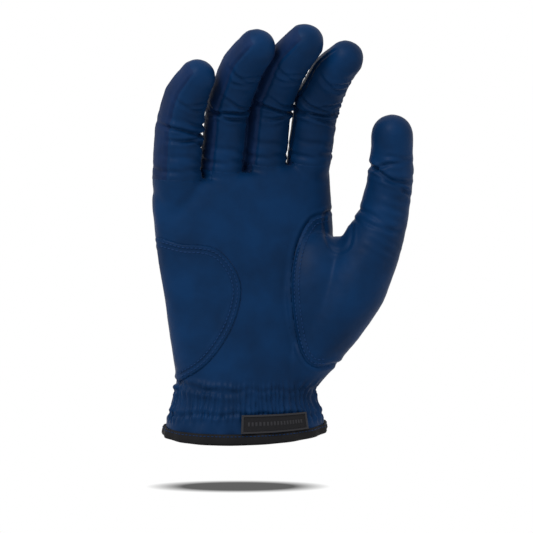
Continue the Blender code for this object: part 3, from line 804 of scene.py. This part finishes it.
def leather(name, colour, roughness=0.5, grain=0.10):
    """Dyed sheepskin: a slightly uneven colour and a fine grain."""
    material, nodes, links, shader = node_material(name)
    coords = nodes.new("ShaderNodeTexCoord")
    uneven = texture(nodes, "ShaderNodeTexNoise", scale=45, detail=5)
    ramp = nodes.new("ShaderNodeValToRGB")
    low, high = ramp.color_ramp.elements
    low.color, low.position = (*[c * 0.8 for c in colour], 1), 0.35
    high.color, high.position = (*[c * 1.2 for c in colour], 1), 0.65
    pores = texture(nodes, "ShaderNodeTexVoronoi", scale=1600)
    fine = texture(nodes, "ShaderNodeTexNoise", scale=420, detail=4)
    wrinkles = texture(nodes, "ShaderNodeTexNoise", scale=130, detail=6, distortion=0.8)
    for node in (uneven, pores, fine, wrinkles):
        links.new(coords.outputs["Object"], node.inputs["Vector"])
    links.new(uneven.outputs["Fac"], ramp.inputs["Fac"])
    links.new(ramp.outputs["Color"], shader.inputs["Base Color"])
    grainy = add_scaled(nodes, links, pores.outputs["Distance"], 0.35, fine.outputs["Fac"])
    rough = add_scaled(nodes, links, wrinkles.outputs["Fac"], 2.2, grainy)
    add_bump(nodes, links, shader, rough, 0.55, grain)
    shader.inputs["Roughness"].default_value = roughness
    shader.inputs["Specular IOR Level"].default_value = 0.07
    shader.inputs["Sheen Weight"].default_value = 0.02
    shader.inputs["Sheen Roughness"].default_value = 0.4
    shader.inputs["Sheen Tint"].default_value = (0.55, 0.5, 0.8, 1)
    return material


def cloth(name, colour, scale, depth, roughness=0.8):
    """Woven tape or pile: two crossed waves of bump."""
    material, nodes, links, shader = node_material(name)
    coords = nodes.new("ShaderNodeTexCoord")
    both = nodes.new("ShaderNodeMath")
    both.operation = "MULTIPLY"
    for k, axis in enumerate(("X", "Z")):
        wave = texture(nodes, "ShaderNodeTexWave", scale=scale, distortion=0.6)
        wave.bands_direction = axis
        links.new(coords.outputs["Object"], wave.inputs["Vector"])
        links.new(wave.outputs["Fac"], both.inputs[k])
    add_bump(nodes, links, shader, both.outputs[0], 0.7, depth)
    shader.inputs["Base Color"].default_value = (*colour, 1)
    shader.inputs["Roughness"].default_value = roughness
    shader.inputs["Specular IOR Level"].default_value = 0.15
    return material


NAVY = (0.0006, 0.0165, 0.058)
materials = {
    "leather": leather("navy_leather", NAVY),
    "strip": leather("strip_leather", (0.0028, 0.0135, 0.05), 0.6),
    "lining": leather("suede_inside", (0.03, 0.05, 0.09), 0.9, 0.2),
    "thread": cloth("navy_thread", (0.003, 0.024, 0.085), 3000, 0.02),
    "tape": cloth("black_tape", (0.006, 0.006, 0.007), 520, 0.15),
    "label": cloth("black_label", (0.008, 0.008, 0.0095), 900, 0.08),
    "frame": cloth("label_frame", (0.02, 0.02, 0.023), 900, 0.05, 0.6),
    "pile": cloth("hook_loop", (0.012, 0.012, 0.015), 1200, 0.4, 0.95),
    "elastic": cloth("elastic", (0.04, 0.04, 0.045), 500, 0.3),
}


# ---------------------------------------------------------------- build


WALLED = ("palm_skin", "back_skin")  # the pieces with a free edge, at the cuff and the slit


def dress(obj):
    obj.data.materials.clear()
    obj.data.materials.append(materials["strip" if obj.name.endswith("side") else "leather"])


def add_wall(obj, thickness=WALL):
    obj.data.materials.append(materials["lining"])
    solidify = obj.modifiers.new("leather", "SOLIDIFY")
    solidify.thickness, solidify.offset = thickness, -1
    solidify.material_offset = 1
    solidify.use_rim = True


def stitch_row(name, path, body, surface, size=(1.75, 0.34), pitch=2.3, lift=0.2):
    """Stitches as short capsules laid along a path of 3D points on a surface."""
    path = np.array(path)
    lengths = np.r_[0, np.cumsum(np.linalg.norm(np.diff(path, axis=0), axis=1))]
    bm = bmesh.new()
    for at in np.arange(pitch * MM, lengths[-1] - pitch * MM, pitch * MM):
        before, after = (
            Vector([np.interp(at + d, lengths, path[:, k]) for k in range(3)]) for d in (-0.5 * MM, 0.5 * MM)
        )
        spot, normal, _, _ = surface.find_nearest((before + after) / 2)
        if spot is None:
            continue
        along = (after - before).normalized()
        side = normal.cross(along).normalized()
        turn = Matrix((along, side, normal)).transposed().to_4x4()
        shape = bmesh.ops.create_uvsphere(bm, u_segments=8, v_segments=6, radius=1)["verts"]
        stretch = Matrix.Diagonal((size[0] / 2 * MM, size[1] * MM, size[1] * MM, 1))
        spin = Matrix.Rotation(math.radians(90), 4, "Y")
        place = Matrix.Translation(spot + normal * lift * MM)
        bmesh.ops.transform(bm, matrix=place @ turn @ stretch @ spin, verts=shape)
    obj = object_of(name, bm)
    obj.data.materials.append(materials["thread"])
    obj.data.shade_smooth()
    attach(obj, body)


def inset(curve, by):
    """The closed curve moved inwards by this much."""
    tangent = np.roll(curve, -1, axis=0) - np.roll(curve, 1, axis=0)
    tangent /= np.linalg.norm(tangent, axis=1)[:, None]
    area = (curve[:, 0] * np.roll(curve[:, 1], -1) - np.roll(curve[:, 0], -1) * curve[:, 1]).sum()
    side = 1 if area > 0 else -1
    return curve + side * by * np.stack([-tangent[:, 1], tangent[:, 0]], 1)


def project_front(curve, surface, keep):
    """Drops an outline on the front view onto the surface along +Y."""
    path = []
    for x, z in curve:
        spot = surface.ray_cast(Vector((x, -0.2, z)), Vector((0, 1, 0)))[0]
        if spot is not None and keep(spot):
            path.append(spot)
    return path


def tree_of(objects):
    verts, faces, start = [], [], 0
    for obj in objects:
        verts += [v.co.copy() for v in obj.data.vertices]
        faces += [tuple(start + v for v in p.vertices) for p in obj.data.polygons]
        start = len(verts)
    return BVHTree.FromPolygons(verts, faces)


def build_skin():
    skin = hand_skin()
    sculpt(skin)
    return cut_skin(skin)


def place_pieces(pieces):
    for name, obj in pieces.items():
        digit = name.split("_")[0]
        if digit in digits and "_panel" not in name and "quirk" not in name:
            line = digits[digit]
            knuckle, middle = joint_stations(line)
            if "_base_" in name:
                a, b, at = "palm", f"{digit}_lower", knuckle
            else:
                a, b, at = f"{digit}_lower", f"{digit}_upper", middle
            start, end = line.point(at - KNUCKLE_REACH), line.point(at + KNUCKLE_REACH)
            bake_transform(obj)
        else:
            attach(obj, "palm")
        dress(obj)
        if name in WALLED:
            add_wall(obj)


pieces = build_skin()
surface = tree_of(pieces.values())
place_pieces(pieces)


def stands_for(pieces):
    """Hides the CAD nodes that each leather piece replaces."""
    groups = {"palm_skin": ["palm_panel"], "back_skin": ["back_panel"], "thumb_quirk_skin": ["thumb_quirk"],
              "thumb_panel_front": ["thumb_palm_panel"], "thumb_panel_back": ["thumb_back_panel"]}
    for name, nodes in groups.items():
        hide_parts(*nodes)
    for digit in digits:
        for level, fold_node, part in (("base", "knuckle_fold", "lower"), ("tip", "middle_fold", "upper")):
            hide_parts(f"{digit}_{fold_node}")
            for side in ("front", "back", "side", "thumb_side", "little_side"):
                piece = pieces.get(f"{digit}_{level}_{side}")
                if piece is None:
                    continue
                node = {"index": "little_side", "little": "thumb_side"}[digit] if side == "side" else side
                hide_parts(f"{digit}_{part}_{node}")


stands_for(pieces)


def heel_patch():
    """The second layer on the heel: the skin inside the patch's outline, lifted by a leather's thickness."""
    source = pieces["palm_skin"].data
    points, out = positions(source), normals(source)
    side = inside_distance(points[:, [0, 2]], curves["heel"])
    faces = np.array([tuple(p.vertices) for p in source.polygons])
    chosen = faces[(side[faces].mean(1) > 0)]
    used, inverse = np.unique(chosen, return_inverse=True)
    spots, lifts = points[used], out[used]
    value = inside_distance(spots[:, [0, 2]], curves["heel"])
    for _ in range(2):
        slope = np.zeros_like(spots)
        for axis in (0, 2):
            nudge = spots.copy()
            nudge[:, axis] += NUDGE
            slope[:, axis] = (inside_distance(nudge[:, [0, 2]], curves["heel"]) - value) / NUDGE
        near = np.abs(value) < 0.8 * VOXEL
        spots[near] -= slope[near] * np.where(value[near] < 0.6 * VOXEL, value[near], 0)[:, None]
        value = inside_distance(spots[:, [0, 2]], curves["heel"])
    edge = 0.75 * smooth(value / (1.0 * MM))
    groove = 0.4 * ridge(value - 3.2 * MM, 0.8 * MM)
    rise = 0.2 + edge - groove - 0.25 * smooth((value - 5 * MM) / (2 * MM))
    obj = object_from("heel_patch_skin", spots + lifts * (rise * MM)[:, None], inverse.reshape(-1, 4).tolist())
    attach(obj, "palm")
    dress(obj)
    add_wall(obj, 0.5 * MM)
    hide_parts("heel_patch")
    return obj


def on_heel_seam(spot):
    return spot.x > -46 * MM


def on_thumb_seam(spot):
    return spot.x < 46 * MM and 43 * MM < spot.z < 122 * MM


patch = heel_patch()
patch_surface = tree_of([patch, *pieces.values()])
for k, depth in enumerate((2.0, 4.4)):
    row = project_front(inset(curves["heel"], depth * MM), patch_surface, on_heel_seam)
    stitch_row(f"heel_stitches_{k + 1}", row, "palm", patch_surface)
for k, depth in enumerate((1.6, 4.0)):
    row = project_front(inset(curves["thumb_front"], depth * MM), patch_surface, on_thumb_seam)
    stitch_row(f"thumb_stitches_{k + 1}", row, "palm", patch_surface)


def cuff_binding():
    """Tape folded over the cuff's edge, with soft round edges. Gives the line of its stitches and the tape.

    The profile is in mm: offset from the leather's face, and height above the edge of the leather.
    """
    profile = (
        (0.35, 5.2), (1.0, 5.0), (1.15, 4.2), (1.2, 2.2), (1.1, 0.4), (0.7, -0.6), (-0.4, -0.9), (-1.3, -0.6),
        (-1.8, 0.4), (-1.9, 2.2), (-1.85, 4.4), (-1.4, 5.0), (-0.9, 4.6), (-0.85, 0.3), (-0.1, -0.1), (0.3, 0.4),
    )
    steps, open_half = 220, 11
    rings = []
    for k in range(steps + 1):
        angle = math.radians(-180 + open_half + (360 - 2 * open_half) * k / steps)
        ripple = FLARE_WAVE * math.sin(angle * AROUND_WRIST * 0.42 + 1)
        pucker = 0.10 * math.sin(angle * 62)
        rings.append([palm_point(angle, z * MM, (off + ripple + pucker * (z > 3)) * MM) for off, z in profile])
    obj = object_from("cuff_binding_tape", *loft(rings), materials["tape"])
    face_outwards(obj.data)
    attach(obj, "palm")
    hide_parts("cuff_binding")
    return [
        palm_point(math.radians(a), 3.9 * MM, (1.25 + FLARE_WAVE * math.sin(math.radians(a) * 16.8 + 1)) * MM)
        for a in np.linspace(-166, 166, 300)
    ], obj


binding_line, binding = cuff_binding()
stitch_row("binding_stitches", binding_line, "palm", tree_of([binding]), (1.5, 0.2), 2.1, 0.05)


def slab(name, degrees, heights, low, high, material, columns=40, rows=8, rounding=0.3):
    """A plate with soft edges that follows the wrist, from offset low to high from the leather."""
    levels = [heights[0] + (heights[1] - heights[0]) * i / rows for i in range(rows + 1)]
    rings = []
    for j in range(columns + 1):
        angle = math.radians(degrees[0] + (degrees[1] - degrees[0]) * j / columns)
        under = [palm_point(angle, level, low) for level in levels]
        over = [palm_point(angle, level, high) for level in levels]
        rings.append(under + over[::-1])
    obj = object_from(name, *loft(rings), material)
    face_outwards(obj.data)
    soft_edges(obj, rounding, 2)
    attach(obj, "palm")
    return obj


def label():
    """A woven label sewn over the binding: a plate, a raised frame and a plain weave in place of its text."""
    (low, high), (bottom, top) = LABEL_ANGLES, LABEL_HEIGHTS
    base = 0.9 * MM
    plate = slab("label_plate", LABEL_ANGLES, LABEL_HEIGHTS, base, base + 0.7 * MM, materials["label"])
    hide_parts("woven_label")
    band, rise, turn = 1.0 * MM, base + 1.1 * MM, 1.7
    sides = (
        ((low, high), (bottom, bottom + band)),
        ((low, high), (top - band, top)),
        ((low, low + turn), (bottom, top)),
        ((high - turn, high), (bottom, top)),
    )
    for k, (degrees, heights) in enumerate(sides):
        columns = max(2, int(abs(degrees[1] - degrees[0])))
        slab(f"label_frame_{k + 1}", degrees, heights, base, rise, materials["frame"], columns=columns)
    count, margin, width, half_height = 17, 4.5, 1.4, 1.1 * MM
    centre = (bottom + top) / 2
    for k in range(count):
        start = low + margin + (high - low - 2 * margin) * k / count
        degrees, heights = (start, start + width), (centre - half_height, centre + half_height)
        slab(f"label_weave_{k + 1}", degrees, heights, base + 0.6 * MM, base + 0.85 * MM,
             materials["frame"], columns=2, rows=2, rounding=0.08)


label()

# Pieces on the back of the wrist and inside it keep the solids' shape, with softer edges and better surfaces
for node, material, edge in (
    ("closure_tab", "leather", 0.45), ("tab_anchor", "leather", 0.35), ("loop_pad", "pile", 0.15),
    ("hook_patch", "pile", 0.15), ("slit_facing", "tape", 0.1), ("wrist_elastic", "elastic", 0.2),
):
    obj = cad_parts[node]
    obj.data.materials.clear()
    obj.data.materials.append(materials[material])
    soft_edges(obj, edge, 3)


# ---------------------------------------------------------------- stage


def drop_shadow():
    """A flat disc under the cuff, darker towards its middle."""
    shade, nodes, links, shader = node_material("drop_shadow")
    coords = nodes.new("ShaderNodeTexCoord")
    blob = nodes.new("ShaderNodeTexGradient")
    blob.gradient_type = "SPHERICAL"
    ramp = nodes.new("ShaderNodeValToRGB")
    ramp.color_ramp.elements[0].color = (0, 0, 0, 1)
    ramp.color_ramp.elements[1].color = (0.9, 0.9, 0.9, 1)
    ramp.color_ramp.elements[1].position = 0.4
    clear = nodes.new("ShaderNodeBsdfTransparent")
    dark = nodes.new("ShaderNodeEmission")
    dark.inputs["Color"].default_value = (0.02, 0.02, 0.02, 1)
    mix = nodes.new("ShaderNodeMixShader")
    links.new(coords.outputs["Object"], blob.inputs["Vector"])
    links.new(blob.outputs["Fac"], ramp.inputs["Fac"])
    links.new(ramp.outputs["Color"], mix.inputs["Fac"])
    links.new(clear.outputs[0], mix.inputs[1])
    links.new(dark.outputs[0], mix.inputs[2])
    links.new(mix.outputs[0], nodes["Material Output"].inputs["Surface"])
    nodes.remove(shader)
    bm = bmesh.new()
    bmesh.ops.create_circle(bm, cap_ends=True, segments=64, radius=1)
    shadow = object_of("shadow", bm)
    shadow.data.materials.append(shade)
    shadow.scale = (0.050, 0.070, 1)
    shadow.location = (-0.0037, 0.004, -0.0240)


def white_world(scene):
    world = bpy.data.worlds.new("white")
    world.use_nodes = True
    background = world.node_tree.nodes["Background"]
    background.inputs["Color"].default_value = (1, 1, 1, 1)
    background.inputs["Strength"].default_value = 1.0
    scene.world = world


def stage():
    scene = bpy.context.scene
    scene.view_settings.view_transform = "Standard"
    white_world(scene)
    drop_shadow()
    key_data = bpy.data.lights.new("key", "AREA")
    key_data.shape, key_data.size, key_data.energy = "DISK", 0.5, 9
    key = bpy.data.objects.new("key", key_data)
    key.location = (-0.45, -0.75, 0.95)
    key.rotation_euler = (Vector((0, 0, 0.1)) - key.location).to_track_quat("-Z", "Y").to_euler()
    scene.collection.objects.link(key)
    camera_data = bpy.data.cameras.new("camera")
    camera_data.lens, camera_data.sensor_width = 300, 36
    camera = bpy.data.objects.new("camera", camera_data)
    camera.location = (0.0116, -2.4, 0.0950)
    camera.rotation_euler = (math.radians(90), 0, 0)
    scene.collection.objects.link(camera)
    scene.camera = camera


stage()
